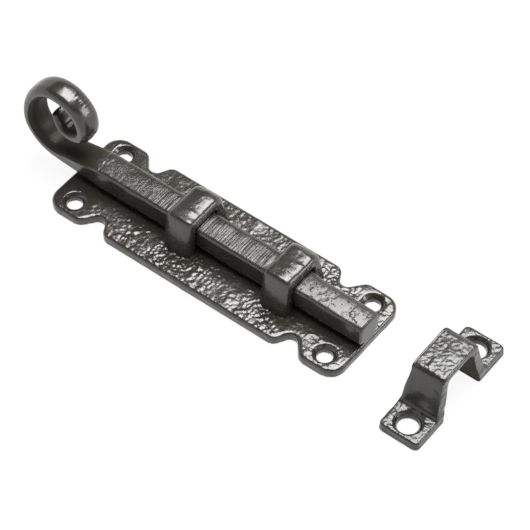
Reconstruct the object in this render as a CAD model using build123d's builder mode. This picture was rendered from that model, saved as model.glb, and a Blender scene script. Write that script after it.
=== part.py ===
"""Surface door bolt in black iron: a scalloped back plate with two guide straps, a square
sliding bar whose tail is drawn out and rolled into a scroll, and a separate keep.

Sizes are in millimetres. The origin is the centre of the back plate's back face,
+X is the way the bar is thrown and +Z is the way out of the door.
"""
import os

from build123d import *

# Back plate
PLATE_LENGTH = 102.9
PLATE_WIDTH = 32.0
PLATE_THICKNESS = 3.0
PLATE_EDGE_ROUND = 1.0
LOBE_LENGTH = 12.2
LOBE_SLOPE_RUN = 3.8
LOBE_CORNER_RADIUS = 5.0
LOBE_SHOULDER_RADIUS = 3.0
NOTCH_FLOOR_LENGTH = 2.6
NOTCH_DEPTH = 4.7
NOTCH_FLOOR_RADIUS = 2.0
BODY_SLOPE_RUN = 2.4
BODY_CORNER_RADIUS = 3.0

# Wood screws of the back plate, one in each lobe
SCREW_HOLE_RADIUS = 2.3
SCREW_SINK_RADIUS = 3.4
SCREW_END_MARGIN = 6.9
SCREW_SIDE_MARGIN = 4.9

# Sliding bar
BAR_WIDTH = 8.8
BAR_HEIGHT = 8.8
BAR_TOP_CUT = 0.5
BAR_BOTTOM_CUT = 1.6
BAR_PLATE_CLEARANCE = 0.4
NOSE_EDGE_CHAMFER = 0.6
BAR_TRAVEL = 25.4

# Guide straps
STRAP_LENGTH = 9.6
REAR_STRAP_OFFSET = 9.9
FRONT_STRAP_OFFSET = 24.1
STRAP_SIDE_CLEARANCE = 0.4
STRAP_TOP_CLEARANCE = 0.6
STRAP_LEG_THICKNESS = 3.0
STRAP_TOP_THICKNESS = 3.4
STRAP_FOOT_FLARE = 0.8
STRAP_FAR_SWELL = 1.0
STRAP_FAR_FLARE = 2.2
STRAP_FAR_RADIUS = 3.4
STRAP_NEAR_RADIUS = 1.3
STRAP_INNER_RADIUS = 0.9
STRAP_EDGE_CHAMFER = 0.5
TENON_LENGTH = 5.2
TENON_PEEN_DEPTH = 0.9
TENON_PEEN_ANGLE = 40.0

# Stop pin in the underside of the bar, and the slot that it runs in
PIN_RADIUS = 1.5
PIN_SEAT_DEPTH = 5.0
PIN_BACK_CLEARANCE = 0.6
PIN_SIDE_CLEARANCE = 0.3
PIN_REST_OFFSET = 3.0

# Tail of the bar: a straight run, then tangent arcs, each a radius and a turn in degrees
TAIL_START_GAP = 9.8
TAIL_RUN = 16.2
TAIL_AXIS_HEIGHT = 4.0
TAIL_ARCS = [
    (9.8, 90.0),
    (17.0, 39.0),
    (9.4, 51.0),
    (8.7, 84.0),
    (11.0, 12.0),
    (6.2, 148.0),
    (9.0, 20.0),
]
TAIL_STATIONS = 31
TAIL_NECK_THICKNESS = 4.6
TAIL_LOOP_THICKNESS = 4.1
TAIL_TIP_THICKNESS = 1.8
TAIL_NECK_WIDTH = 8.4
TAIL_LOOP_WIDTH = 7.2
TAIL_TIP_WIDTH = 6.2
TAIL_EDGE_CUT = 1.0
TAIL_TIP_CUT = 0.5
TAIL_LOOP_SHARE = 0.74

# Keep: a bent strap with two feet, in line with the bar
KEEP_GAP = 17.8
KEEP_LENGTH = 42.0
KEEP_HEIGHT = 16.9
KEEP_FOOT_DEPTH = 13.2
KEEP_BRIDGE_DEPTH = 10.8
KEEP_THICKNESS = 3.1
KEEP_SIDE_CLEARANCE = 0.6
KEEP_LEG_SPREAD = 3.2
KEEP_TOP_RADIUS = 2.4
KEEP_INNER_RADIUS = 1.0
KEEP_FOOT_BEND_RADIUS = 1.2
KEEP_FOOT_CORNER_RADIUS = 1.6
KEEP_EDGE_CHAMFER = 0.5
KEEP_HOLE_RADIUS = 3.0
KEEP_SINK_RADIUS = 4.1
KEEP_SCREW_END_MARGIN = 5.2

# Heights and places that follow from the sizes above
bar_bottom = PLATE_THICKNESS + BAR_PLATE_CLEARANCE
bar_top = bar_bottom + BAR_HEIGHT
nose_x = PLATE_LENGTH / 2
tail_start_x = -PLATE_LENGTH / 2 + TAIL_START_GAP
strap_inner_half = BAR_WIDTH / 2 + STRAP_SIDE_CLEARANCE
strap_inner_top = bar_top + STRAP_TOP_CLEARANCE
screw_x = PLATE_LENGTH / 2 - SCREW_END_MARGIN
screw_y = PLATE_WIDTH / 2 - SCREW_SIDE_MARGIN
keep_x = nose_x + KEEP_GAP + KEEP_FOOT_DEPTH / 2
keep_screw_y = KEEP_LENGTH / 2 - KEEP_SCREW_END_MARGIN
pin_x = -REAR_STRAP_OFFSET + STRAP_LENGTH / 2 + PIN_REST_OFFSET


def strap_tenon(x: float, mode: Mode):
    """Adds or cuts the two riveted tenons of the strap at x, through the back plate."""
    leg_y = strap_inner_half + STRAP_LEG_THICKNESS / 2
    with BuildSketch() as shanks:
        with Locations((x, leg_y), (x, -leg_y)):
            Rectangle(TENON_LENGTH, STRAP_LEG_THICKNESS)
    extrude(shanks.sketch, amount=PLATE_THICKNESS, mode=mode)
    with BuildSketch(Plane.XY.offset(TENON_PEEN_DEPTH)) as peened_ends:
        with Locations((x, leg_y), (x, -leg_y)):
            Rectangle(TENON_LENGTH, STRAP_LEG_THICKNESS)
    extrude(peened_ends.sketch, amount=-TENON_PEEN_DEPTH, taper=-TENON_PEEN_ANGLE, mode=mode)


# The back plate has a lobe at each corner, set off from the body by a notch
body_half = PLATE_WIDTH / 2
floor_y = body_half - NOTCH_DEPTH
lobe_x = PLATE_LENGTH / 2 - LOBE_LENGTH
floor_outer_x = lobe_x - LOBE_SLOPE_RUN
floor_inner_x = floor_outer_x - NOTCH_FLOOR_LENGTH
body_x = floor_inner_x - BODY_SLOPE_RUN
with BuildPart() as back_plate:
    with BuildSketch():
        with BuildLine():
            FilletPolyline(
                (0, body_half),
                (body_x, body_half),
                (floor_inner_x, floor_y),
                (floor_outer_x, floor_y),
                (lobe_x, body_half),
                (PLATE_LENGTH / 2, body_half),
                (PLATE_LENGTH / 2, 0),
                radius=[
                    BODY_CORNER_RADIUS,
                    NOTCH_FLOOR_RADIUS,
                    NOTCH_FLOOR_RADIUS,
                    LOBE_SHOULDER_RADIUS,
                    LOBE_CORNER_RADIUS,
                ],
            )
            Line((PLATE_LENGTH / 2, 0), (0, 0))
            Line((0, 0), (0, body_half))
        make_face()
        mirror(about=Plane.YZ)
        mirror(about=Plane.XZ)
    extrude(amount=PLATE_THICKNESS)
    fillet(back_plate.faces().sort_by(Axis.Z)[-1].edges(), PLATE_EDGE_ROUND)
    with Locations(Plane.XY.offset(PLATE_THICKNESS)):
        with GridLocations(2 * screw_x, 2 * screw_y, 2, 2):
            CounterSinkHole(SCREW_HOLE_RADIUS, SCREW_SINK_RADIUS)
    strap_tenon(-REAR_STRAP_OFFSET, Mode.SUBTRACT)
    strap_tenon(FRONT_STRAP_OFFSET, Mode.SUBTRACT)
    with BuildSketch():
        with Locations((pin_x + BAR_TRAVEL / 2, 0)):
            SlotCenterToCenter(BAR_TRAVEL, 2 * (PIN_RADIUS + PIN_SIDE_CLEARANCE))
    extrude(amount=PLATE_THICKNESS, mode=Mode.SUBTRACT)
back_plate.part.label = "back_plate"


def guide_strap(x: float) -> BuildPart:
    """A square loop over the bar, centred at x, with a riveted tenon under each leg."""
    near_y = -strap_inner_half - STRAP_LEG_THICKNESS
    far_y = strap_inner_half + STRAP_LEG_THICKNESS + STRAP_FAR_SWELL
    outer_top = strap_inner_top + STRAP_TOP_THICKNESS
    near_face = Plane.YZ.offset(x - STRAP_LENGTH / 2)
    with BuildPart() as strap:
        with BuildSketch(near_face):
            with BuildLine():
                FilletPolyline(
                    (near_y - STRAP_FOOT_FLARE, PLATE_THICKNESS),
                    (near_y, outer_top),
                    (far_y, outer_top),
                    (far_y + STRAP_FAR_FLARE, PLATE_THICKNESS),
                    radius=[STRAP_NEAR_RADIUS, STRAP_FAR_RADIUS],
                )
                Line(
                    (far_y + STRAP_FAR_FLARE, PLATE_THICKNESS),
                    (near_y - STRAP_FOOT_FLARE, PLATE_THICKNESS),
                )
            make_face()
        extrude(amount=STRAP_LENGTH)
        ends = strap.faces().filter_by(Axis.X)
        chamfer(ends.edges().filter_by(lambda e: e.center().Z > PLATE_THICKNESS), STRAP_EDGE_CHAMFER)
        with BuildSketch(near_face):
            with BuildLine():
                FilletPolyline(
                    (-strap_inner_half, PLATE_THICKNESS),
                    (-strap_inner_half, strap_inner_top),
                    (strap_inner_half, strap_inner_top),
                    (strap_inner_half, PLATE_THICKNESS),
                    radius=STRAP_INNER_RADIUS,
                )
                Line((strap_inner_half, PLATE_THICKNESS), (-strap_inner_half, PLATE_THICKNESS))
            make_face()
        extrude(amount=STRAP_LENGTH, mode=Mode.SUBTRACT)
        strap_tenon(x, Mode.ADD)
    return strap


rear_strap = guide_strap(-REAR_STRAP_OFFSET)
rear_strap.part.label = "rear_strap"
front_strap = guide_strap(FRONT_STRAP_OFFSET)
front_strap.part.label = "front_strap"


def bar_section(half_width: float, inner: float, outer: float, inner_cut: float, outer_cut: float):
    """Eight-sided section of the bar, its inner side on the scroll's hollow, its corners cut off."""
    with BuildLine() as outline:
        Polyline(
            (half_width, outer - outer_cut),
            (half_width, inner_cut - inner),
            (half_width - inner_cut, -inner),
            (inner_cut - half_width, -inner),
            (-half_width, inner_cut - inner),
            (-half_width, outer - outer_cut),
            (outer_cut - half_width, outer),
            (half_width - outer_cut, outer),
            close=True,
        )
    make_face(outline.edges())


def blend(share: float, stops: list) -> float:
    """Value at a share of the tail's length, in a straight line between the stops around it."""
    for (start, low), (end, high) in zip(stops, stops[1:]):
        if share <= end:
            return low + (high - low) * (share - start) / (end - start)
    return stops[-1][1]


# The tail's line starts level with the bar and rolls up and over into the scroll
tail_z = bar_bottom + TAIL_AXIS_HEIGHT
with BuildLine(Plane.XZ) as tail_line:
    piece = Line((tail_start_x, tail_z), (tail_start_x - TAIL_RUN, tail_z))
    for arc_radius, turn in TAIL_ARCS:
        piece = JernArc(start=piece @ 1, tangent=piece % 1, radius=arc_radius, arc_size=-turn)
tail_wire = tail_line.wires()[0]
neck_share = TAIL_RUN / tail_wire.length

with BuildPart() as bolt_bar:
    with BuildSketch(Plane(origin=(tail_start_x, 0, tail_z), x_dir=(0, 1, 0), z_dir=(-1, 0, 0))):
        bar_section(
            BAR_WIDTH / 2, BAR_HEIGHT - TAIL_AXIS_HEIGHT, TAIL_AXIS_HEIGHT, BAR_TOP_CUT, BAR_BOTTOM_CUT
        )
    extrude(amount=tail_start_x - nose_x)
    chamfer(bolt_bar.faces().sort_by(Axis.X)[-1].edges(), NOSE_EDGE_CHAMFER)
    for station in range(TAIL_STATIONS):
        share = station / (TAIL_STATIONS - 1)
        neck_half = TAIL_NECK_THICKNESS / 2
        loop_half = TAIL_LOOP_THICKNESS / 2
        tip_half = TAIL_TIP_THICKNESS / 2
        later = [(neck_share, neck_half), (TAIL_LOOP_SHARE, loop_half), (1.0, tip_half)]
        inner = blend(share, [(0.0, BAR_HEIGHT - TAIL_AXIS_HEIGHT)] + later)
        outer = blend(share, [(0.0, TAIL_AXIS_HEIGHT)] + later)
        width = blend(
            share,
            [(0.0, BAR_WIDTH), (neck_share, TAIL_NECK_WIDTH), (TAIL_LOOP_SHARE, TAIL_LOOP_WIDTH), (1.0, TAIL_TIP_WIDTH)],
        )
        cuts = [(neck_share, TAIL_EDGE_CUT), (TAIL_LOOP_SHARE, TAIL_EDGE_CUT), (1.0, TAIL_TIP_CUT)]
        inner_cut = blend(share, [(0.0, BAR_TOP_CUT)] + cuts)
        outer_cut = blend(share, [(0.0, BAR_BOTTOM_CUT)] + cuts)
        with BuildSketch(Plane(origin=tail_wire @ share, x_dir=(0, 1, 0), z_dir=tail_wire % share)):
            bar_section(width / 2, inner, outer, inner_cut, outer_cut)
    loft()
    with Locations(Plane(origin=(pin_x, 0, bar_bottom), z_dir=(0, 0, -1))):
        Hole(PIN_RADIUS, PIN_SEAT_DEPTH)
bolt_bar.part.label = "bolt_bar"

# The stop pin is driven into the bar from behind, and stands in the back plate's slot
with BuildPart() as stop_pin:
    with BuildSketch(Plane.XY.offset(PIN_BACK_CLEARANCE)):
        with Locations((pin_x, 0)):
            Circle(PIN_RADIUS)
    extrude(amount=bar_bottom + PIN_SEAT_DEPTH - PIN_BACK_CLEARANCE)
stop_pin.part.label = "stop_pin"

# The keep bridges the bar's path, and its feet take a countersunk screw each
keep_inner_top_y = BAR_WIDTH / 2 + KEEP_SIDE_CLEARANCE
keep_inner_foot_y = keep_inner_top_y + KEEP_LEG_SPREAD
keep_inner_z = KEEP_HEIGHT - KEEP_THICKNESS
keep_outer_top_y = keep_inner_top_y + KEEP_THICKNESS
keep_outer_foot_y = keep_inner_foot_y + KEEP_THICKNESS
with BuildPart() as keep:
    with BuildSketch(Plane.YZ.offset(keep_x - KEEP_FOOT_DEPTH / 2)):
        with BuildLine():
            FilletPolyline(
                (0, KEEP_HEIGHT),
                (keep_outer_top_y, KEEP_HEIGHT),
                (keep_outer_foot_y, KEEP_THICKNESS),
                (KEEP_LENGTH / 2, KEEP_THICKNESS),
                radius=[KEEP_TOP_RADIUS, KEEP_FOOT_BEND_RADIUS],
            )
            Polyline((KEEP_LENGTH / 2, KEEP_THICKNESS), (KEEP_LENGTH / 2, 0), (keep_inner_foot_y, 0))
            FilletPolyline(
                (keep_inner_foot_y, 0),
                (keep_inner_top_y, keep_inner_z),
                (0, keep_inner_z),
                radius=KEEP_INNER_RADIUS,
            )
            Line((0, keep_inner_z), (0, KEEP_HEIGHT))
        make_face()
        mirror(about=Plane.YZ)
    extrude(amount=KEEP_FOOT_DEPTH)
    with BuildSketch(Plane(origin=(keep_x, 0, 0), x_dir=(1, 0, 0), z_dir=(0, -1, 0))):
        with BuildLine():
            Polyline(
                (-KEEP_FOOT_DEPTH / 2, 0),
                (KEEP_FOOT_DEPTH / 2, 0),
                (KEEP_FOOT_DEPTH / 2, KEEP_THICKNESS),
                (KEEP_BRIDGE_DEPTH / 2, KEEP_HEIGHT),
                (-KEEP_BRIDGE_DEPTH / 2, KEEP_HEIGHT),
                (-KEEP_FOOT_DEPTH / 2, KEEP_THICKNESS),
                close=True,
            )
        make_face()
    extrude(amount=KEEP_LENGTH / 2, both=True, mode=Mode.INTERSECT)
    fillet(keep.edges().filter_by(Axis.Z), KEEP_FOOT_CORNER_RADIUS)
    sides = keep.faces().filter_by(lambda f: abs(f.normal_at().X) > 0.9)
    chamfer(sides.edges().filter_by(lambda e: e.center().Z > KEEP_THICKNESS), KEEP_EDGE_CHAMFER)
    with Locations(Plane.XY.offset(KEEP_THICKNESS)):
        with Locations((keep_x, keep_screw_y), (keep_x, -keep_screw_y)):
            CounterSinkHole(KEEP_HOLE_RADIUS, KEEP_SINK_RADIUS)
keep.part.label = "keep"

os.makedirs("parts", exist_ok=True)
export_step(back_plate.part, "parts/back_plate.step")
export_step(rear_strap.part, "parts/rear_strap.step")
export_step(front_strap.part, "parts/front_strap.step")
export_step(bolt_bar.part, "parts/bolt_bar.step")
export_step(stop_pin.part, "parts/stop_pin.step")
export_step(keep.part, "parts/keep.step")
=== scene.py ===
"""Visual model of a black iron surface door bolt with a scrolled tail, and its keep.

Every length is in metres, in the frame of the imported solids: +X is the way the bar is thrown,
+Z is the way out of the door, and the back plate's back face lies at z = 0.
"""

import logging
import math
from dataclasses import dataclass
from enum import Enum
from typing import Callable, Optional, Union

import bmesh
import bpy
import numpy as np
from mathutils import Matrix

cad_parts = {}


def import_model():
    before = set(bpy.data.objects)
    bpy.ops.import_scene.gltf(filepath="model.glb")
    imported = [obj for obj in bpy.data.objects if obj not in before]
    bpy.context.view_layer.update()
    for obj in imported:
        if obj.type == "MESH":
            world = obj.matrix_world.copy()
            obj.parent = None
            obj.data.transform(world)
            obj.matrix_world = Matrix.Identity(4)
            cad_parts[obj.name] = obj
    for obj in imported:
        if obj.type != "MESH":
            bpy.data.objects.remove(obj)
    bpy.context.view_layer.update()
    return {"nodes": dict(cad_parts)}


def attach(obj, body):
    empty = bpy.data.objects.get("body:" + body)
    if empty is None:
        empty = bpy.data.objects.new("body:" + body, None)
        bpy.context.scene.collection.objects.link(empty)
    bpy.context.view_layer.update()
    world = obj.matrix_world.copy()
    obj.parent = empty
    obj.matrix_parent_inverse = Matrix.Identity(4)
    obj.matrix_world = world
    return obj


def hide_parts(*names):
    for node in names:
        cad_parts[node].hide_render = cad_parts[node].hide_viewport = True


LOG = logging.getLogger("door_bolt")
MM = 0.001
# Added to a half size, so that nothing is divided by 0
TINY = 1e-9
# Width of the camera's sensor in mm, and of the photograph in pixels
SENSOR = 36.0
PICTURE = 530.0


class Lie(Enum):
    """Where a finish finds the direction that its tool marks run in."""

    NONE = "none"
    ACROSS_BAR = "across the bar"


# ---------------------------------------------------------------- surface relief


# Odd numbers that scatter a cell's corner, two that mix its bits, and the steps between seeds and salts
SCATTER = tuple(np.uint32(number) for number in (374761393, 668265263, 2246822519))
MIX = tuple(np.uint32(number) for number in (1274126177, 2654435761))
SEED_STEP, SALT_STEP = 7919, 104729


@dataclass(frozen=True)
class Relief:
    """Seeded lattice noise on whole arrays of points, for hammer marks and cast skin.

    Each octave is shifted, and its cells are octave_pitch as wide as those of the one before. Creases
    are read at places that a wider noise has moved by up to bend of a cell.
    """

    seed: int
    octave_shift: float = 0.0371
    octave_pitch: float = 0.47
    bend_shift: float = 0.013
    bend_pitch: float = 1.7
    bend: float = 0.45

    def _hash(self, cell: np.ndarray, salt: int) -> np.ndarray:
        """Gives each lattice cell a fixed number from 0 to 1.

        Args:
            cell: whole-number cell corners, shape (n, 3).
            salt: picks one of several independent numbers for a cell.

        Returns:
            One number for each cell, shape (n,).
        """
        c = cell.astype(np.int64).astype(np.uint32)
        mixed = c[:, 0] * SCATTER[0] + c[:, 1] * SCATTER[1]
        mixed = mixed + c[:, 2] * SCATTER[2] + np.uint32(self.seed * SEED_STEP + salt * SALT_STEP)
        mixed = (mixed ^ (mixed >> np.uint32(13))) * MIX[0]
        mixed = (mixed ^ (mixed >> np.uint32(15))) * MIX[1]
        return (mixed ^ (mixed >> np.uint32(16))) / (2.0**32 - 1.0)

    def smooth(self, points: np.ndarray, pitch: float) -> np.ndarray:
        """Smooth noise from -1 to 1: the eight corner values of a cell, blended by t*t*t*(t*(6t-15)+10).

        Args:
            points: positions, shape (n, 3).
            pitch: size of a cell, in metres.

        Returns:
            One value for each point, shape (n,).
        """
        at = points / pitch
        base = np.floor(at)
        t = at - base
        t = t * t * t * (t * (t * 6.0 - 15.0) + 10.0)
        total = np.zeros(len(points))
        for corner in ((i, j, k) for i in (0, 1) for j in (0, 1) for k in (0, 1)):
            weight = np.prod(np.where(corner, t, 1.0 - t), axis=1)
            total += weight * self._hash(base + np.array(corner), 0)
        return 2.0 * total - 1.0

    def fractal(self, points: np.ndarray, pitch: float, octaves: int = 3) -> np.ndarray:
        """Sum of smooth noise, each octave half as large as the one before it."""
        total = np.zeros(len(points))
        for octave in range(octaves):
            shifted = points + octave * self.octave_shift
            total += 0.5**octave * self.smooth(shifted, pitch * self.octave_pitch**octave)
        return total

    def creases(self, points: np.ndarray, pitch: float) -> np.ndarray:
        """Rounded knobs parted by sharp creases: |noise|**0.8, 0 in a crease and 1 on a crest."""
        shifts = [self.bend_shift * (axis + 1) for axis in range(3)]
        bends = np.stack([self.smooth(points + shift, pitch * self.bend_pitch) for shift in shifts], axis=1)
        return np.abs(self.smooth(points + self.bend * pitch * bends, pitch)) ** 0.8

    def dimples(self, points: np.ndarray, pitch: float) -> np.ndarray:
        """Round-bottomed hammer marks: the squared distance to the nearest of one scattered point a cell.

        Args:
            points: positions, shape (n, 3).
            pitch: size of a cell, in metres.

        Returns:
            0 at the bottom of a mark and about 1 on the ridges between them, shape (n,).
        """
        at = points / pitch
        base = np.floor(at)
        nearest = np.full(len(points), 9.0)
        for step in ((i, j, k) for i in (-1, 0, 1) for j in (-1, 0, 1) for k in (-1, 0, 1)):
            cell = base + np.array(step)
            seedling = cell + np.stack([self._hash(cell, salt) for salt in (1, 2, 3)], axis=1)
            nearest = np.minimum(nearest, ((at - seedling) ** 2).sum(axis=1))
        return np.minimum(nearest, 1.0)


def ramp(value: np.ndarray, low: float, high: float) -> np.ndarray:
    """0 below low, 1 above high, and 3t*t - 2t*t*t between them."""
    t = np.clip((value - low) / (high - low), 0.0, 1.0)
    return t * t * (3.0 - 2.0 * t)


# ---------------------------------------------------------------- meshes


def ring(half_width: np.ndarray, half_depth: np.ndarray, radius: np.ndarray, sides: int) -> tuple:
    """Rounded rectangles, one for each station, as arrays of stations by sides.

    A point goes round the square max(|a|, |b|) = 1, is stretched to the rectangle, and is then
    drawn to within radius of the rectangle's core: core + radius * (p - core) / |p - core|.

    Args:
        half_width: half the size along the first axis, shape (n, 1).
        half_depth: half the size along the second axis, shape (n, 1).
        radius: corner radius, shape (n, 1) or (n, sides).
        sides: how many points go round.

    Returns:
        The two coordinates of each point, then the two parts of its outward direction.
    """
    # Angles crowd towards the corners, where the curve needs them
    crowding = 0.16
    turn = np.linspace(0.0, 2.0 * math.pi, sides, endpoint=False)
    turn = turn - crowding * np.sin(4.0 * turn)
    a, b = np.cos(turn), np.sin(turn)
    square = np.maximum(np.abs(a), np.abs(b))
    across = (a / square) * half_width
    deep = (b / square) * half_depth
    radius = np.minimum(radius, 0.98 * np.minimum(half_width, half_depth)) * np.ones_like(across)
    core_a = np.clip(across, radius - half_width, half_width - radius)
    core_b = np.clip(deep, radius - half_depth, half_depth - radius)
    off_a, off_b = across - core_a, deep - core_b
    length = np.hypot(off_a, off_b)
    length = np.where(length > 1e-12, length, 1.0)
    off_a, off_b = off_a / length, off_b / length
    return core_a + radius * off_a, core_b + radius * off_b, off_a, off_b


def grid_faces(rows: int, columns: int) -> np.ndarray:
    """Quads of a grid that is closed round its columns and open along its rows."""
    row, column = np.meshgrid(np.arange(rows - 1), np.arange(columns), indexing="ij")
    here = row * columns + column
    beside = row * columns + (column + 1) % columns
    return np.stack([here, beside, beside + columns, here + columns], axis=-1).reshape(-1, 4)


def new_object(name: str, data: bpy.types.ID) -> bpy.types.Object:
    """Adds an object with the given data to the scene."""
    made = bpy.data.objects.new(name, data)
    bpy.context.scene.collection.objects.link(made)
    return made


def mesh_object(name: str, parts: list) -> bpy.types.Object:
    """Makes one object at the origin from grids of points, each closed to a pole at both ends.

    Args:
        name: the object's name.
        parts: arrays of rows by columns by 3, first and last rows drawn together to a point.

    Returns:
        The object, with its doubles merged and its faces turned outwards.
    """
    points = np.concatenate([part.reshape(-1, 3) for part in parts])
    offsets = np.cumsum([0] + [part.shape[0] * part.shape[1] for part in parts[:-1]])
    faces = np.concatenate([grid_faces(*part.shape[:2]) + off for part, off in zip(parts, offsets)])
    mesh = bpy.data.meshes.new(name)
    mesh.from_pydata(points.tolist(), [], faces.tolist())
    work = bmesh.new()
    work.from_mesh(mesh)
    bmesh.ops.remove_doubles(work, verts=work.verts, dist=1e-7)
    bmesh.ops.dissolve_degenerate(work, edges=work.edges, dist=1e-8)
    bmesh.ops.recalc_face_normals(work, faces=work.faces)
    work.to_mesh(mesh)
    work.free()
    mesh.shade_smooth()
    return new_object(name, mesh)


def read_points(mesh: bpy.types.Mesh, what: str = "co") -> np.ndarray:
    """Positions ("co") or outward directions ("normal") of a mesh's vertices, shape (n, 3)."""
    flat = np.empty(len(mesh.vertices) * 3, dtype=np.float32)
    mesh.vertices.foreach_get(what, flat)
    return flat.reshape(-1, 3).astype(float)


def worked_copy(node: bpy.types.Object, name: str, voxel: float, passes: int) -> bpy.types.Object:
    """Copies a solid as one even skin of small quads, fit to take hammer marks.

    Args:
        node: the solid's object, left as it is.
        name: the copy's name.
        voxel: size of the quads, in metres.
        passes: how often the skin is smoothed, which rounds its edges.

    Returns:
        The copy, at the origin, with no modifier left on it.
    """
    merged = node.data.copy()
    work = bmesh.new()
    work.from_mesh(merged)
    bmesh.ops.remove_doubles(work, verts=work.verts, dist=1e-6)
    work.to_mesh(merged)
    work.free()
    made = new_object(name, merged)
    remesh = made.modifiers.new("even_skin", "REMESH")
    remesh.mode = "VOXEL"
    remesh.voxel_size = voxel
    smooth = made.modifiers.new("rounded", "SMOOTH")
    smooth.factor = 0.5
    smooth.iterations = passes
    seen = made.evaluated_get(bpy.context.evaluated_depsgraph_get())
    skin = bpy.data.meshes.new_from_object(seen)
    made.modifiers.clear()
    made.data = skin
    skin.name = name
    skin.materials.clear()
    skin.shade_smooth()
    return made


def press(made: bpy.types.Object, height: Callable[[np.ndarray, np.ndarray], np.ndarray]) -> None:
    """Moves each vertex along its own outward direction.

    Args:
        made: the object to change.
        height: gives the move in metres from the positions and outward directions.
    """
    points, normals = read_points(made.data), read_points(made.data, "normal")
    points = points + normals * height(points, normals)[:, None]
    made.data.vertices.foreach_set("co", points.astype(np.float32).ravel())
    made.data.update()


# ---------------------------------------------------------------- shaders


class Signal:
    """A number that comes out of a socket. Arithmetic on it adds Math nodes."""

    def __init__(self, tree: "ShaderTree", socket: bpy.types.NodeSocket) -> None:
        """Wraps a socket of a tree."""
        self.tree = tree
        self.socket = socket

    def _math(self, operation: str, first: "Number", second: "Number") -> "Signal":
        """Adds one Math node for first and second."""
        return self.tree.node("ShaderNodeMath", {"operation": operation}, {0: first, 1: second})

    def __add__(self, other: "Number") -> "Signal":
        """self + other."""
        return self._math("ADD", self, other)

    __radd__ = __add__

    def __sub__(self, other: "Number") -> "Signal":
        """self - other."""
        return self._math("SUBTRACT", self, other)

    def __rsub__(self, other: "Number") -> "Signal":
        """other - self."""
        return self._math("SUBTRACT", other, self)

    def __mul__(self, other: "Number") -> "Signal":
        """self * other."""
        return self._math("MULTIPLY", self, other)

    __rmul__ = __mul__

    def over(self, low: float, high: float) -> "Signal":
        """0 below low and 1 above high, smooth between them."""
        return self.tree.node(
            "ShaderNodeMapRange",
            {"interpolation_type": "SMOOTHSTEP"},
            {"Value": self, "From Min": low, "From Max": high, "To Min": 0.0, "To Max": 1.0},
        )


Number = Union[Signal, float]


class ShaderTree:
    """The nodes of one material or of the world."""

    def __init__(self, tree: bpy.types.NodeTree) -> None:
        """Empties the tree and takes it over."""
        tree.nodes.clear()
        self.tree = tree

    def node(self, kind: str, settings: dict, inputs: dict, output: Union[int, str] = 0) -> Signal:
        """Adds a node.

        Args:
            kind: the node's type.
            settings: its properties.
            inputs: numbers, tuples or Signals for its sockets, by name or index.
            output: the socket to give back, by name or index.

        Returns:
            The wrapped output.
        """
        made = self.tree.nodes.new(kind)
        for key, value in settings.items():
            setattr(made, key, value)
        for key, value in inputs.items():
            if isinstance(value, Signal):
                self.tree.links.new(value.socket, made.inputs[key])
            else:
                made.inputs[key].default_value = value
        return Signal(self, made.outputs[output] if len(made.outputs) else made.inputs[0])

    def noise(self, place: Signal, scale: float, detail: float = 3.0, rough: float = 0.55) -> Signal:
        """Adds a noise texture, in cycles a metre, and gives its value."""
        inputs = {"Vector": place, "Scale": scale, "Detail": detail, "Roughness": rough}
        return self.node("ShaderNodeTexNoise", {}, inputs, "Fac")

    def blend(self, share: "Number", first: Union[Signal, tuple], second: Union[Signal, tuple]) -> Signal:
        """Adds a Mix node that goes from the first colour at 0 to the second at 1."""
        ends = [end if isinstance(end, Signal) else (*end, 1.0) for end in (first, second)]
        return self.node("ShaderNodeMix", {"data_type": "RGBA"}, {0: share, 6: ends[0], 7: ends[1]}, 2)

    def stretched(self, place: Signal, stretch: tuple) -> Signal:
        """Adds a Mapping node that scales a place by stretch."""
        return self.node("ShaderNodeMapping", {}, {"Vector": place, "Scale": stretch})

    def part(self, vector: Signal, axis: str) -> Signal:
        """Adds a Separate XYZ node and gives one part of a vector."""
        return self.node("ShaderNodeSeparateXYZ", {}, {"Vector": vector}, axis)

    def facing(self, axis: str) -> Signal:
        """Adds the nodes for one part of the outward direction."""
        return self.part(self.node("ShaderNodeNewGeometry", {}, {}, "Normal"), axis)


def new_material(name: str) -> tuple:
    """Adds a material, and gives it and its empty node tree."""
    made = bpy.data.materials.new(name)
    made.use_nodes = True
    return made, ShaderTree(made.node_tree)


@dataclass(frozen=True)
class Hollow:
    """A hollow whose inward faces are made matt and all but unreflecting, as painted shade inside it, given
    in the plane of two axes.
    """

    axes: tuple
    middle: tuple
    reach: float
    fade: float = 1.2
    inward_from: tuple = (0.8 * MM, 3.5 * MM)

    def mask(self, tree: ShaderTree, place: Signal) -> Signal:
        """1 on the faces that look into the hollow, which take the painted shade.

        Args:
            tree: the material's nodes.
            place: Object coordinates.

        Returns:
            The mask: such a face's outward direction runs against its place as seen from the middle.
        """
        off = [tree.part(place, axis) - middle for axis, middle in zip(self.axes, self.middle)]
        faces = [tree.facing(axis) for axis in self.axes]
        inward = (off[0] * faces[0] + off[1] * faces[1]) * -1.0
        apart = off[0] * off[0] + off[1] * off[1]
        outside = apart.over(self.reach**2, (self.fade * self.reach) ** 2)
        return inward.over(*self.inward_from) * (1.0 - outside)


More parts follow.
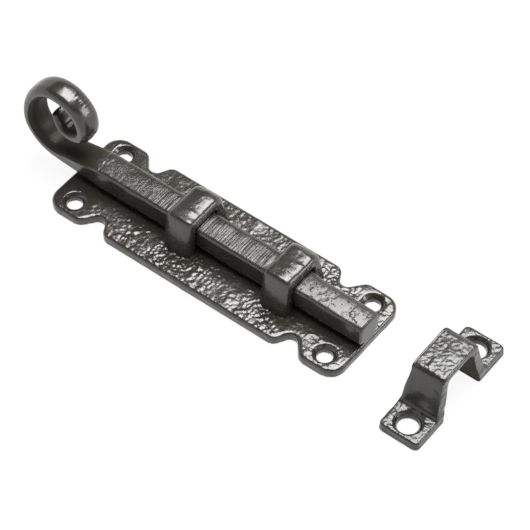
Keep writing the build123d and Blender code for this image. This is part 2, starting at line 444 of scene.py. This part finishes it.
@dataclass(frozen=True)
class BlackIron:
    """Black paint on worked iron: near black, half glossy, with a fine skin of its own.

    The pairs that end in from or to are the X between which a kind of surface begins or ends.
    """

    name: str
    colour: tuple = (0.0205, 0.0186, 0.0140)
    # Painted shade inside the nose's pits
    pit_shade_colour: tuple = (0.006, 0.0055, 0.0045)
    # Colour of the painted shade on the faces inside a hollow
    hollow_shade_colour: tuple = (0.026, 0.0235, 0.018)
    worn_colour: tuple = (0.034, 0.032, 0.028)
    gloss: float = 0.22
    gloss_spread: float = 0.14
    skin_depth: float = 0.04 * MM
    skin_scale: float = 2600.0
    patch_scale: float = 140.0
    pore_scale: float = 900.0
    coat: float = 0.40
    coat_roughness: float = 0.12
    # Roughness and share of the painted shade on the faces inside a hollow
    hollow_shade_roughness: float = 0.8
    hollow_shade_share: float = 0.92
    pit_scale: float = 1150.0
    nose_from: tuple = (28.0 * MM, 30.0 * MM)
    mark_stretch: tuple = (1900.0, 70.0, 70.0)
    faint_from: tuple = (-46.0 * MM, -36.0 * MM)
    clear_from: tuple = (-24.0 * MM, -13.0 * MM)
    marks_to: tuple = (26.0 * MM, 31.0 * MM)
    rough_from: tuple = (-45.0 * MM, -42.0 * MM)
    rough_to: tuple = (-22.0 * MM, -13.0 * MM)
    marks: Lie = Lie.NONE
    hollow: Optional[Hollow] = None

    def build(self) -> bpy.types.Material:
        """Makes the material.

        Returns:
            A node material on Object coordinates.
        """
        made, tree = new_material(self.name)
        place = tree.node("ShaderNodeTexCoord", {}, {}, "Object")
        patches = tree.noise(place, self.patch_scale, 4.0)
        grain = tree.noise(place, self.skin_scale, 3.0, 0.6)
        pores = tree.noise(place, self.pore_scale, 2.0)
        worn = patches.over(0.52, 0.72) * 0.55 + grain.over(0.5, 0.8) * 0.25
        roughness = self.gloss + (patches - 0.5) * self.gloss_spread + (grain - 0.5) * 0.18
        height = grain * 0.5 + pores * 0.9
        coat = self.coat
        colour = tree.blend(worn, self.colour, self.worn_colour)
        if self.marks is Lie.ACROSS_BAR:
            marked, mask, rough_end = self._file_marks(tree, place)
            pits, nose = self._pits(tree, place)
            height = height * (1.0 + rough_end * 1.6 - mask * 0.6) + marked * mask * 2.4 - pits * 2.2
            roughness = roughness + pits * 0.35 + nose * 0.13
            coat = (1.0 - pits) * coat
            colour = tree.blend(worn + marked * mask * 0.5, self.colour, self.worn_colour)
            # The pits are darkened in colour: painted shade inside them
            colour = tree.blend(pits, colour, self.pit_shade_colour)
        bump = tree.node(
            "ShaderNodeBump", {}, {"Strength": 1.0, "Distance": self.skin_depth, "Height": height}, "Normal"
        )
        shader = tree.node(
            "ShaderNodeBsdfPrincipled",
            {},
            {
                "Base Color": colour,
                "Roughness": roughness,
                "Normal": bump,
                "IOR": 1.55,
                "Coat Weight": coat,
                "Coat Roughness": self.coat_roughness,
                "Coat IOR": 1.5,
            },
        )
        # Painted shade: faces that look into a hollow are mixed towards a matt shader with little
        # reflection, which stands in for the shade inside it
        if self.hollow:
            matt = tree.node(
                "ShaderNodeBsdfPrincipled",
                {},
                {
                    "Base Color": (*self.hollow_shade_colour, 1.0),
                    "Roughness": self.hollow_shade_roughness,
                    "Specular IOR Level": 0.08,
                },
            )
            share = self.hollow.mask(tree, place) * self.hollow_shade_share
            shader = tree.node("ShaderNodeMixShader", {}, {0: share, 1: shader, 2: matt})
        tree.node("ShaderNodeOutputMaterial", {}, {"Surface": shader})
        return made

    def _pits(self, tree: ShaderTree, place: Signal) -> tuple:
        """Small round pits on the upward faces of the nose, 1 inside a pit, and the nose's own mask."""
        dots = tree.noise(place, self.pit_scale, 1.0).over(0.60, 0.68)
        nose = tree.part(place, "X").over(*self.nose_from)
        return dots * tree.facing("Z").over(0.5, 0.8) * nose, nose

    def _file_marks(self, tree: ShaderTree, place: Signal) -> tuple:
        """Fine lines that run across the bar, on its upward faces behind the nose.

        Args:
            tree: the material's nodes.
            place: Object coordinates.

        Returns:
            The lines' height, the mask of where they show, and the mask of the rough end by the tail.
        """
        lines = tree.noise(tree.stretched(place, self.mark_stretch), 1.0, 2.0, 0.5).over(0.36, 0.64)
        along = tree.part(place, "X")
        clean = along.over(*self.faint_from) * 0.15 + along.over(*self.clear_from) * 0.85
        mask = tree.facing("Z").over(0.80, 0.95) * clean * (1.0 - along.over(*self.marks_to))
        return lines, mask, along.over(*self.rough_from) * (1.0 - along.over(*self.rough_to))


@dataclass(frozen=True)
class BareSteel:
    """Drawn steel of the hidden stop pin."""

    name: str = "drawn_steel"
    colour: tuple = (0.36, 0.36, 0.37)

    def build(self) -> bpy.types.Material:
        """Makes the material, with faint lines round the pin."""
        made, tree = new_material(self.name)
        place = tree.node("ShaderNodeTexCoord", {}, {}, "Object")
        lines = tree.noise(tree.stretched(place, (200.0, 200.0, 9000.0)), 1.0)
        shader = tree.node(
            "ShaderNodeBsdfPrincipled",
            {},
            {
                "Base Color": (*self.colour, 1.0),
                "Metallic": 1.0,
                "Roughness": 0.25 + lines * 0.2,
                "Normal": tree.node("ShaderNodeBump", {}, {"Distance": 0.00001, "Height": lines}, "Normal"),
            },
        )
        tree.node("ShaderNodeOutputMaterial", {}, {"Surface": shader})
        return made


# ---------------------------------------------------------------- the bolt's pieces


@dataclass
class BackPlate:
    """The scalloped plate, with a rough cast and hammered face."""

    finish: BlackIron
    quad: float = 0.285 * MM
    passes: int = 2
    noise_z: float = 0.7 * MM
    knob_pitch: float = 1.2 * MM
    knob_height: float = 0.24 * MM
    mark_pitch: float = 4.2 * MM
    wave_pitch: float = 7.5 * MM
    wave_height: float = 0.08 * MM
    edge_pitch: float = 4.0 * MM
    edge_height: float = 0.10 * MM
    relief: Relief = Relief(11)

    def height(self, points: np.ndarray, normals: np.ndarray) -> np.ndarray:
        """Hammer marks and cast knobs on the face, and a little waviness on the edge.

        Args:
            points: positions of the skin.
            normals: its outward directions.

        Returns:
            How far each point moves outwards, in metres.
        """
        flat = points * np.array([1.0, 1.0, 0.0]) + np.array([0.0, 0.0, self.noise_z])
        face = ramp(normals[:, 2], 0.45, 0.9) * ramp(points[:, 2], 1.6 * MM, 2.7 * MM)
        edge = ramp(1.0 - np.abs(normals[:, 2]), 0.5, 0.9)
        # The roughest skin lies along both sides, between the lobes
        middle = 1.0 - ramp(np.abs(points[:, 0] - 8.0 * MM), 32.0 * MM, 44.0 * MM)
        strip = 0.36 + 0.64 * ramp(np.abs(points[:, 1]), 2.0 * MM, 8.0 * MM) * middle
        patchy = strip * (0.40 + 0.60 * ramp(self.relief.fractal(flat, 10.0 * MM, 2), -0.30, 0.35))
        knobs = self.relief.creases(flat, self.knob_pitch) - 0.55
        fine = self.relief.creases(flat + 0.01, self.knob_pitch * 0.45) - 0.5
        marks = self.relief.dimples(flat, self.mark_pitch) - 0.45
        wave = self.wave_height * self.relief.fractal(flat, self.wave_pitch, 2)
        rough = self.knob_height * (patchy * (knobs + 0.45 * fine) + 0.40 * strip * marks) + wave
        return face * rough + edge * self.edge_height * self.relief.fractal(points, self.edge_pitch, 2)

    def build(self, nodes: dict) -> bpy.types.Object:
        """Makes the plate's skin from its solid and presses the marks into it."""
        made = worked_copy(nodes["back_plate"], "back_plate_face", self.quad, self.passes)
        press(made, self.height)
        return dress(made, self.finish.build(), "base", "back_plate")


@dataclass
class GuideStrap:
    """A square loop over the bar, with its two riveted tenons."""

    node: str
    centre_x: float
    finish: BlackIron
    seed: int
    plate_top: float = 3.0 * MM
    length: float = 9.6 * MM
    inner_half: float = 4.8 * MM
    inner_top: float = 12.8 * MM
    leg: float = 3.0 * MM
    cover: float = 3.4 * MM
    near: tuple = (7.15 * MM, 1.75 * MM, 1.7 * MM)
    far: tuple = (8.8 * MM, 2.2 * MM, 4.4 * MM)
    inner: tuple = (4.8 * MM, 0.0, 0.9 * MM)
    outer_edge: float = 1.6 * MM
    inner_edge: float = 0.6 * MM
    crown: float = 0.38 * MM
    lean: float = 0.045
    foot_sink: float = 0.35 * MM
    tenon_length: float = 5.2 * MM
    peen: float = 0.7 * MM
    peen_depth: float = 0.9 * MM
    lump_pitch: float = 3.2 * MM
    lump_height: float = 0.13 * MM
    knob_pitch: float = 1.1 * MM
    knob_height: float = 0.07 * MM
    sunk: float = 0.16 * MM
    leg_steps: int = 46
    bend_steps: int = 20
    top_steps: int = 40
    sides: int = 72
    tenon_sides: int = 40

    def side(self, top: float, shape: tuple) -> np.ndarray:
        """Half of an outline, from a foot up the leg and round a quarter circle to the top.

        Args:
            top: height of the strap's top.
            shape: how far out the leg stands at the top, how much further the foot stands, and the
                radius of the bend.

        Returns:
            Y and Z of each point, shape (n, 2).
        """
        half, flare, radius = shape
        foot = self.plate_top - self.foot_sink
        rise = np.linspace(0.0, 1.0, self.leg_steps)
        turn = np.linspace(0.0, math.pi / 2, self.bend_steps)[1:]
        y = np.concatenate([half + flare * (1.0 - rise), half - radius + radius * np.cos(turn)])
        z = np.concatenate([foot + (top - radius - foot) * rise, top - radius + radius * np.sin(turn)])
        return np.stack([y, z], axis=1)

    def outline(self, top: float, far: tuple, near: tuple) -> np.ndarray:
        """A whole outline, from the far foot over the top to the near one.

        Args:
            top: height of the strap's top.
            far: shape of the far side, as in side.
            near: shape of the near side.

        Returns:
            Y and Z of each point, shape (n, 2).
        """
        far_part = self.side(top, far)
        near_part = self.side(top, near)[::-1] * np.array([-1.0, 1.0])
        share = np.linspace(0.0, 1.0, self.top_steps)[1:-1, None]
        between = far_part[-1] * (1.0 - share) + near_part[0] * share
        return np.concatenate([far_part, between, near_part])

    def loop(self) -> np.ndarray:
        """The strap as rounded rectangles that stand between its inner and its outer outline.

        A station's middle is (inner + outer) / 2, and its depth runs along outer - inner.

        Returns:
            Points, stations by sides by 3.
        """
        inner = self.outline(self.inner_top, self.inner, self.inner)
        outer = self.outline(self.inner_top + self.cover, self.far, self.near)
        ends = np.array([0.0, 0.5] + [1.0] * len(inner) + [0.5, 0.0])[:, None]
        inner = np.concatenate([inner[:1], inner[:1], inner, inner[-1:], inner[-1:]])
        outer = np.concatenate([outer[:1], outer[:1], outer, outer[-1:], outer[-1:]])
        middle = (inner + outer) / 2
        depth = outer - inner
        reach = np.linalg.norm(depth, axis=1, keepdims=True)
        out = depth / reach
        outward = np.sin(np.linspace(0.0, 2.0 * math.pi, self.sides, endpoint=False))[None, :] > 0
        edge = np.where(outward, self.outer_edge, self.inner_edge) * np.ones_like(ends)
        side, deep, side_n, deep_n = ring(self.length / 2 * ends, reach / 2 * ends, edge, self.sides)
        lean = self.lean * np.clip(out[:, 1:], 0.0, 1.0) ** 4
        fall = self.crown * (side / (self.length / 2)) ** 2 + lean * (self.length / 2 - side)
        deep = deep - fall * outward * ends
        points = np.empty(side.shape + (3,))
        points[..., 0] = self.centre_x + side
        points[..., 1] = middle[:, :1] + deep * out[:, :1]
        points[..., 2] = middle[:, 1:] + deep * out[:, 1:]
        normal = np.empty_like(points)
        normal[..., 0] = side_n
        normal[..., 1] = deep_n * out[:, :1]
        normal[..., 2] = deep_n * out[:, 1:]
        shown = ramp(deep_n + np.abs(side_n) * 0.8, 0.0, 0.5) * ends
        flat = points.reshape(-1, 3)
        relief = Relief(self.seed)
        lump = self.lump_height * relief.fractal(flat, self.lump_pitch, 2) - self.sunk
        lump = lump + self.knob_height * relief.creases(flat, self.knob_pitch)
        # The legs are smoother than the top
        lump = lump * (0.25 + 0.75 * ramp(flat[:, 2], self.inner_top - 0.5 * MM, self.inner_top + 2.0 * MM))
        return points + normal * (lump.reshape(side.shape) * shown)[..., None]

    def tenon(self, side: float) -> np.ndarray:
        """One tenon, a rounded rectangle carried down through the plate and spread at its end.

        Args:
            side: +1 or -1, the leg that it belongs to.

        Returns:
            Points, stations by sides by 3.
        """
        top = self.plate_top - 0.1 * MM
        low = 0.03 * MM
        z = np.array([top, top, self.peen_depth, self.peen_depth * 0.5, low, low])[:, None]
        spread = np.array([0.0, 0.0, 0.0, 0.5, 1.0, 1.0])[:, None] * self.peen
        share = np.array([0.0, 1.0, 1.0, 1.0, 1.0, 0.0])[:, None]
        half_a = (self.tenon_length / 2 + spread) * share + TINY
        half_b = (self.leg / 2 + spread) * share + TINY
        a, b, _, _ = ring(half_a, half_b, 0.3 * MM, self.tenon_sides)
        y = side * (self.inner_half + self.leg / 2)
        return np.stack([self.centre_x + a, y + b, z + 0.0 * a], axis=-1)

    def build(self) -> bpy.types.Object:
        """Makes the strap and its tenons as one object."""
        made = mesh_object(self.node + "_forged", [self.loop(), self.tenon(1.0), self.tenon(-1.0)])
        return dress(made, self.finish.build(), "base", self.node)


@dataclass
class BoltBar:
    """The square bar, drawn down behind the plate and rolled up and over into a scroll.

    The line's bends are pairs of radius in mm and turn in degrees. The neck, the loop and the tip are
    pairs of width and thickness. The radii are those of the section's corners, from the nose on.
    """

    finish: BlackIron
    nose_x: float = 51.45 * MM
    width: float = 8.8 * MM
    height: float = 8.8 * MM
    bottom: float = 3.4 * MM
    axis_height: float = 4.0 * MM
    tail_x: float = -41.65 * MM
    tail_run: float = 16.2 * MM
    bends: tuple = (
        (9.8, 90.0),
        (17.0, 39.0),
        (9.4, 51.0),
        (9.6, 84.0),
        (5.5, 12.0),
        (5.7, 84.0),
        (4.9, 66.0),
        (14.0, 16.0),
    )
    neck: tuple = (8.4 * MM, 4.6 * MM)
    loop: tuple = (7.9 * MM, 4.1 * MM)
    tip: tuple = (6.2 * MM, 1.8 * MM)
    coil_thicker: float = 1.5 * MM
    loop_share: float = 0.74
    nose_round: float = 0.7 * MM
    nose_slope: float = 0.55 * MM
    crown: float = 0.28 * MM
    near_radii: tuple = (1.7 * MM, 0.7 * MM, 0.8 * MM, 1.7 * MM)
    far_radii: tuple = (2.3 * MM, 1.0 * MM, 1.0 * MM, 1.7 * MM)
    outer_radii: tuple = (2.4 * MM, 1.8 * MM, 2.4 * MM)
    radii_fade: float = 20.0 * MM
    slope_run: float = 20.0 * MM
    lump_height: float = 0.07 * MM
    ridge_height: float = 0.08 * MM
    ridge_pitch: float = 0.17 * MM
    ridge_reach: float = 3.4 * MM
    ridge_place: float = 41.0 * MM
    pit_depth: float = 0.05 * MM
    upset_height: float = 0.24 * MM
    upset_reach: float = 2.4 * MM
    step: float = 0.22 * MM
    line_samples: int = 6001
    sides: int = 84
    relief: Relief = Relief(5)

    def heading(self, s: np.ndarray) -> np.ndarray:
        """Turn of the line from level, in radians, at a length s from the nose: the sum of its arcs."""
        straight = self.nose_x - self.tail_x + self.tail_run
        radii = np.array([bend[0] for bend in self.bends]) * MM
        turns = np.radians([bend[1] for bend in self.bends])
        lengths = np.concatenate([[0.0, straight], straight + np.cumsum(radii * turns)])
        angles = np.concatenate([[0.0, 0.0], np.cumsum(turns)])
        return np.interp(s, lengths, angles)

    def total(self) -> float:
        """Length of the line from the nose to the tip."""
        arcs = sum(radius * MM * math.radians(turn) for radius, turn in self.bends)
        return self.nose_x - self.tail_x + self.tail_run + arcs

    def line(self, s: np.ndarray) -> tuple:
        """Places on the line: the running sum of (-cos, sin) of the heading.

        Args:
            s: lengths from the nose.

        Returns:
            X, Z and the heading at each length.
        """
        fine = np.linspace(0.0, self.total(), self.line_samples)
        angle = self.heading(fine)
        mid = (angle[1:] + angle[:-1]) / 2
        gap = np.diff(fine)
        x = np.concatenate([[0.0], np.cumsum(-np.cos(mid) * gap)]) + self.nose_x
        z = np.concatenate([[0.0], np.cumsum(np.sin(mid) * gap)]) + self.bottom + self.axis_height
        return np.interp(s, fine, x), np.interp(s, fine, z), self.heading(s)

    def build(self) -> bpy.types.Object:
        """Carries a rounded rectangle along the line and presses the forging marks into it."""
        total = self.total()
        run = np.linspace(0.0, total, int(total / self.step))
        lead = np.array([0.0, 0.3, 0.6, 0.85])
        s = np.concatenate([np.zeros(len(lead)), run, np.full(len(lead), total)])
        share = np.concatenate([lead, np.ones(len(run)), lead[::-1]])[:, None]
        x, z, angle = self.line(s)
        straight = self.nose_x - self.tail_x
        tail = (s - straight) / (total - straight)
        neck = self.tail_run / (total - straight)
        stops = [0.0, neck, self.loop_share, 1.0]
        width = np.interp(tail, stops, [self.width, self.neck[0], self.loop[0], self.tip[0]])
        thick = [self.neck[1] / 2, self.loop[1] / 2, self.tip[1] / 2]
        inner = np.interp(tail, stops, [self.height - self.axis_height] + thick)
        outer = np.interp(tail, stops, [self.axis_height] + thick)
        inner = inner + self.coil_thicker * np.interp(tail, [0.66, 0.86, 1.0], [0.0, 1.0, 0.25])
        # Both ends are rounded off: the section draws in by r - sqrt(r*r - (r - d)**2) at d from the end
        inset = np.zeros_like(s)
        for distance, radius in ((s, self.nose_round), (total - s, self.tip[1] * 0.42)):
            near = np.clip(radius - distance, 0.0, radius)
            inset = inset + radius - np.sqrt(radius * radius - near * near)
        half_w = (width / 2 - inset)[:, None] * share
        half_t = ((inner + outer) / 2 - inset)[:, None] * share
        shift = ((inner - outer) / 2)[:, None]
        faded = straight + self.radii_fade
        near_in = np.interp(s, [0.0, 5.0 * MM, straight, faded], self.near_radii)
        far_in = np.interp(s, [19.0 * MM, 24.0 * MM, straight, faded], self.far_radii)
        corner_out = np.interp(tail, [0.0, neck, 0.35], self.outer_radii)
        turn = np.linspace(0.0, 2.0 * math.pi, self.sides, endpoint=False)[None, :]
        corner = np.where(np.cos(turn) > 0, far_in[:, None], near_in[:, None])
        corner = np.where(np.sin(turn) > 0, corner, corner_out[:, None])
        a, b, an, bn = ring(half_w + TINY, half_t + TINY, corner, self.sides)
        # The scroll's outer half is drawn towards an oval: b = -half * sqrt(1 - (a / half_w)**2)
        oval = -half_t * np.sqrt(np.clip(1.0 - (a / (half_w + TINY)) ** 2, 0.0, 1.0))
        drawn = np.interp(tail, [0.0, neck, 0.30], [0.0, 0.35, 0.8])[:, None] * (b < 0)
        drawn = drawn * np.where(a > 0, 1.0, 0.6)
        b = b * (1.0 - drawn) + oval * drawn
        # The top is crowned across, and slopes down a little towards the nose's end
        slope = self.nose_slope * np.clip(1.0 - s / self.slope_run, 0.0, 1.0)[:, None] ** 2
        fall = slope + self.crown * (a / (self.width / 2)) ** 2
        b = b + shift * share - fall * np.clip(b / (half_t + TINY), 0.0, 1.0) * share
        points = self._place(x, z, angle, a, b)
        normal = self._place(0.0 * x, 0.0 * z, angle, an, bn)
        points = points + normal * self.marks(points, s, a, bn, share)[..., None]
        made = mesh_object("bolt_bar_forged", [points])
        return dress(made, self.finish.build(), "bolt", "bolt_bar")

    @staticmethod
    def _place(x: np.ndarray, z: np.ndarray, angle: np.ndarray, a: np.ndarray, b: np.ndarray) -> np.ndarray:
        """Stands section coordinates on the line: a goes along Y, b along (sin, cos) of the heading."""
        points = np.empty(a.shape + (3,))
        points[..., 0] = x[:, None] + b * np.sin(angle)[:, None]
        points[..., 1] = a
        points[..., 2] = z[:, None] + b * np.cos(angle)[:, None]
        return points

    def marks(
        self, points: np.ndarray, s: np.ndarray, a: np.ndarray, bn: np.ndarray, share: np.ndarray
    ) -> np.ndarray:
        """Forging marks: lumps all over, ridges across the top of the scroll, pits on the nose.

        Args:
            points: the smooth bar's points.
            s: length from the nose of each station.
            a: place across the section.
            bn: outward part towards the scroll's hollow.
            share: 0 in the middle of the end faces and 1 everywhere else.

        Returns:
            How far each point moves outwards, stations by sides.
        """
        flat = points.reshape(-1, 3)
        shape = a.shape
        nose = ramp(-s, -20.0 * MM, -16.0 * MM)[:, None]
        lumps = self.relief.fractal(flat, 5.0 * MM, 3).reshape(shape) * (1.0 - 0.5 * nose) - 1.0
        away = (s - (self.nose_x - self.tail_x + self.tail_run + self.ridge_place))[:, None]
        far_half = ramp(a, -1.0 * MM, 0.8 * MM)
        crest = np.exp(-((away / self.ridge_reach) ** 2)) * (bn < -0.2) * far_half
        ridges = np.sin(away / self.ridge_pitch) * crest
        pits = ramp(self.relief.smooth(flat, 1.5 * MM).reshape(shape), 0.30, 0.70) * nose
        # The metal is upset where the bar is drawn down
        behind = (s - self.nose_x + self.tail_x - 0.5 * MM) / self.upset_reach
        start = np.exp(-(behind**2))[:, None] * (bn > 0.6)
        upset = (self.relief.creases(flat, 1.2 * MM).reshape(shape) - 0.75) * start
        height = self.lump_height * lumps + self.ridge_height * ridges
        return (height - self.pit_depth * pits + self.upset_height * upset) * share


@dataclass
class Keep:
    """The bent strap that the bar's nose runs into, with its two countersunk feet."""

    finish: BlackIron
    quad: float = 0.21 * MM
    passes: int = 20
    bump_height: float = 0.05 * MM
    mark_height: float = 0.04 * MM
    wrinkle_height: float = 0.13 * MM
    bridge_drop: float = 0.34 * MM
    wave_height: float = 0.11 * MM
    uneven_height: float = 0.20 * MM
    hammered_height: float = 0.07 * MM
    relief: Relief = Relief(23)

    def height(self, points: np.ndarray, normals: np.ndarray) -> np.ndarray:
        """Wrinkles on the bridge and the feet, and smoother legs with uneven edges.

        Args:
            points: positions of the skin.
            normals: its outward directions.

        Returns:
            How far each point moves outwards, in metres.
        """
        up = ramp(normals[:, 2], 0.5, 0.9)
        bridge = ramp(points[:, 2], 15.0 * MM, 16.4 * MM)
        foot = 1.0 - ramp(points[:, 2], 3.6 * MM, 4.6 * MM)
        marks = self.relief.dimples(points, 3.4 * MM) - 0.45
        bumps = self.relief.smooth(points, 0.85 * MM) + 0.5 * self.relief.smooth(points + 0.02, 0.5 * MM)
        wrinkle = self.relief.creases(points * np.array([1.0, 1.3, 1.0]), 0.95 * MM) - 0.5
        rough = bridge * (self.bump_height * bumps + self.mark_height * marks)
        rough = rough + foot * self.wrinkle_height * (wrinkle + 0.45 * marks)
        # The bridge drops by up to 0.5 mm towards its left end and its far edge
        fall = ramp(-points[:, 0], -81.0 * MM, -67.0 * MM) + 0.5 * ramp(points[:, 1], 0.0, 8.0 * MM)
        rough = rough - self.bridge_drop * bridge * fall
        wave = self.wave_height * (self.relief.fractal(points, 4.5 * MM, 2) - 1.4)
        # The legs' edges are the least even: they were bent hot and left as they came
        leg = ramp(points[:, 2], 3.0 * MM, 5.0 * MM) * (1.0 - ramp(points[:, 2], 14.0 * MM, 15.6 * MM))
        side = leg * ramp(np.abs(normals[:, 0]), 0.3, 0.9)
        uneven = self.uneven_height * (self.relief.fractal(points + 0.03, 2.8 * MM, 2) - 0.9)
        hammered = self.relief.dimples(points, 3.0 * MM) - 1.0
        hammered = self.hammered_height * hammered * leg * (1.0 - side)
        outside = ramp(points[:, 2], 0.6 * MM, 1.6 * MM)
        return outside * (up * rough + wave + side * uneven + hammered)

    def build(self, nodes: dict) -> bpy.types.Object:
        """Makes the keep's skin from its solid and presses the wrinkles into it."""
        made = worked_copy(nodes["keep"], "keep_forged", self.quad, self.passes)
        press(made, self.height)
        return dress(made, self.finish.build(), "base", "keep")


def dress(
    made: bpy.types.Object, material: bpy.types.Material, body: str, node: str
) -> bpy.types.Object:
    """Gives a piece its material and its body, and hides the solid that it stands for."""
    made.data.materials.clear()
    made.data.materials.append(material)
    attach(made, body)
    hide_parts(node)
    return made


# ---------------------------------------------------------------- the studio


@dataclass
class Studio:
    """White table, a dark ceiling, a large soft light overhead, a small one behind, and the camera."""

    azimuth: float = 37.671
    elevation: float = 51.124
    target: tuple = (12.883 * MM, 3.313 * MM, 3.0 * MM)
    distance: float = 722.7 * MM
    lens: float = 2587.4 / PICTURE * SENSOR
    table_half: float = 3.0
    table_z: float = -0.05 * MM
    table_grey: float = 0.85
    glow_share: float = 0.92
    ceiling_half: float = 2.6
    ceiling_z: float = 1.5
    ceiling_grey: float = 0.12
    lit_middle: tuple = (12.0 * MM, 0.0, 0.0)

    def camera(self) -> None:
        """Places the camera: it looks along (-sin az cos el, cos az cos el, -sin el)."""
        az, el = math.radians(self.azimuth), math.radians(self.elevation)
        forward = np.array([-math.sin(az) * math.cos(el), math.cos(az) * math.cos(el), -math.sin(el)])
        right = np.array([math.cos(az), math.sin(az), 0.0])
        up = np.cross(right, forward)
        eye = np.array(self.target) - forward * self.distance
        data = bpy.data.cameras.new("camera")
        data.sensor_width = SENSOR
        data.lens = self.lens
        data.clip_start = 0.01
        data.clip_end = 50.0
        made = new_object("camera", data)
        turn = Matrix((right, up, -forward)).transposed().to_4x4()
        made.matrix_world = Matrix.Translation(eye) @ turn
        bpy.context.scene.camera = made

    @staticmethod
    def _seen(tree: ShaderTree) -> Signal:
        """1 for camera, glossy and transmission rays, and 0 for the rest."""
        path = tree.node("ShaderNodeLightPath", {}, {}, "Is Camera Ray")
        outputs = path.socket.node.outputs
        glossy = Signal(tree, outputs["Is Glossy Ray"])
        through = Signal(tree, outputs["Is Transmission Ray"])
        return (path + glossy + through).over(0.0, 1.0)

    def world(self) -> None:
        """Plain white all round."""
        world = bpy.data.worlds.new("surroundings")
        world.use_nodes = True
        tree = ShaderTree(world.node_tree)
        back = tree.node("ShaderNodeBackground", {}, {"Color": (1.0, 1.0, 1.0, 1.0), "Strength": 1.0})
        tree.node("ShaderNodeOutputWorld", {}, {"Surface": back})
        bpy.context.scene.world = world

    @staticmethod
    def _sheet(name: str, paint: str, half: float, z: float, downward: bool) -> tuple:
        """Makes a level square sheet about the origin.

        Args:
            name: the sheet's name.
            paint: its material's name.
            half: half its side.
            z: its height.
            downward: whether its face looks down.

        Returns:
            The object and its material's empty node tree.
        """
        corners = [(-half, -half, z), (half, -half, z), (half, half, z), (-half, half, z)]
        mesh = bpy.data.meshes.new(name)
        mesh.from_pydata(corners[::-1] if downward else corners, [], [(0, 1, 2, 3)])
        material, tree = new_material(paint)
        mesh.materials.append(material)
        return new_object(name, mesh), tree

    def floor(self) -> None:
        """The white table, just under the plate, which keeps a soft shadow."""
        table, tree = self._sheet("table", "table_white", self.table_half, self.table_z, False)
        matt = tree.node("ShaderNodeBsdfDiffuse", {}, {"Color": (*[self.table_grey] * 3, 1.0)})
        glow = tree.node("ShaderNodeEmission", {}, {"Color": (1.0, 1.0, 1.0, 1.0), "Strength": 1.0})
        share = self._seen(tree) * self.glow_share
        mix = tree.node("ShaderNodeMixShader", {}, {0: share, 1: matt, 2: glow})
        tree.node("ShaderNodeOutputMaterial", {}, {"Surface": mix})

    def ceiling(self) -> None:
        """A dark sheet high over the bolt, so that its upward faces mirror little but the lamp."""
        sheet, tree = self._sheet("ceiling", "ceiling_grey", self.ceiling_half, self.ceiling_z, True)
        matt = tree.node("ShaderNodeBsdfDiffuse", {}, {"Color": (*[self.ceiling_grey] * 3, 1.0)})
        tree.node("ShaderNodeOutputMaterial", {}, {"Surface": matt})

    def lamp(self, name: str, direction: tuple, distance: float, size: tuple, radiance: float) -> None:
        """Adds a rectangular light that faces the bolt.

        Args:
            name: the light's name.
            direction: the way to it from the bolt's middle.
            distance: how far off it stands.
            size: its width and height.
            radiance: how bright its face is, where 1 is white.
        """
        way = np.array(direction) / np.linalg.norm(direction)
        data = bpy.data.lights.new(name, "AREA")
        data.shape = "RECTANGLE"
        data.size, data.size_y = size
        data.energy = radiance * math.pi * size[0] * size[1]
        made = new_object(name, data)
        side = np.cross([0.0, 1.0, 0.0], way)
        side = side / np.linalg.norm(side)
        turn = Matrix((side, np.cross(way, side), way)).transposed().to_4x4()
        made.matrix_world = Matrix.Translation(way * distance + np.array(self.lit_middle)) @ turn

    def build(self) -> None:
        """Sets up the camera, the table, the lights and the view."""
        self.camera()
        self.world()
        self.floor()
        self.ceiling()
        self.lamp("overhead", (-0.033, 0.262, 1.0), 1.20, (0.82, 0.92), 12.5)
        self.lamp("right_back", (0.85, 0.50, 0.42), 1.20, (0.55, 0.40), 6.0)
        bpy.context.scene.view_settings.view_transform = "Standard"


def main() -> None:
    """Builds the bolt piece by piece, then the studio."""
    logging.basicConfig(level=logging.INFO, format="%(name)s: %(message)s")
    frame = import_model()
    nodes = frame["nodes"]
    # The scroll's hollow and the keep's tunnel take painted shade on their inward faces
    scroll = Hollow(("X", "Z"), (-55.0 * MM, 22.5 * MM), 14.2 * MM)
    tunnel = Hollow(("Y", "Z"), (0.0, 3.0 * MM), 11.0 * MM)
    plate_paint = BlackIron("plate_black", colour=(0.0240, 0.0216, 0.0160))
    bar_paint = BlackIron("bar_black", gloss=0.23, marks=Lie.ACROSS_BAR, hollow=scroll)
    keep_paint = BlackIron(
        "keep_black", colour=(0.0130, 0.0119, 0.0092), gloss=0.33, gloss_spread=0.30, hollow=tunnel
    )
    pieces = [
        BackPlate(plate_paint).build(nodes),
        GuideStrap("rear_strap", -9.9 * MM, BlackIron("rear_strap_black", gloss=0.26), 31).build(),
        GuideStrap("front_strap", 24.1 * MM, BlackIron("front_strap_black", gloss=0.26), 37).build(),
        BoltBar(bar_paint).build(),
        Keep(keep_paint).build(nodes),
    ]
    for piece in pieces:
        LOG.info("%s: %d faces", piece.name, len(piece.data.polygons))
    pin = nodes["stop_pin"]
    pin.data.materials.clear()
    pin.data.materials.append(BareSteel().build())
    Studio().build()
    bpy.context.view_layer.update()


if __name__ == "__main__":
    main()
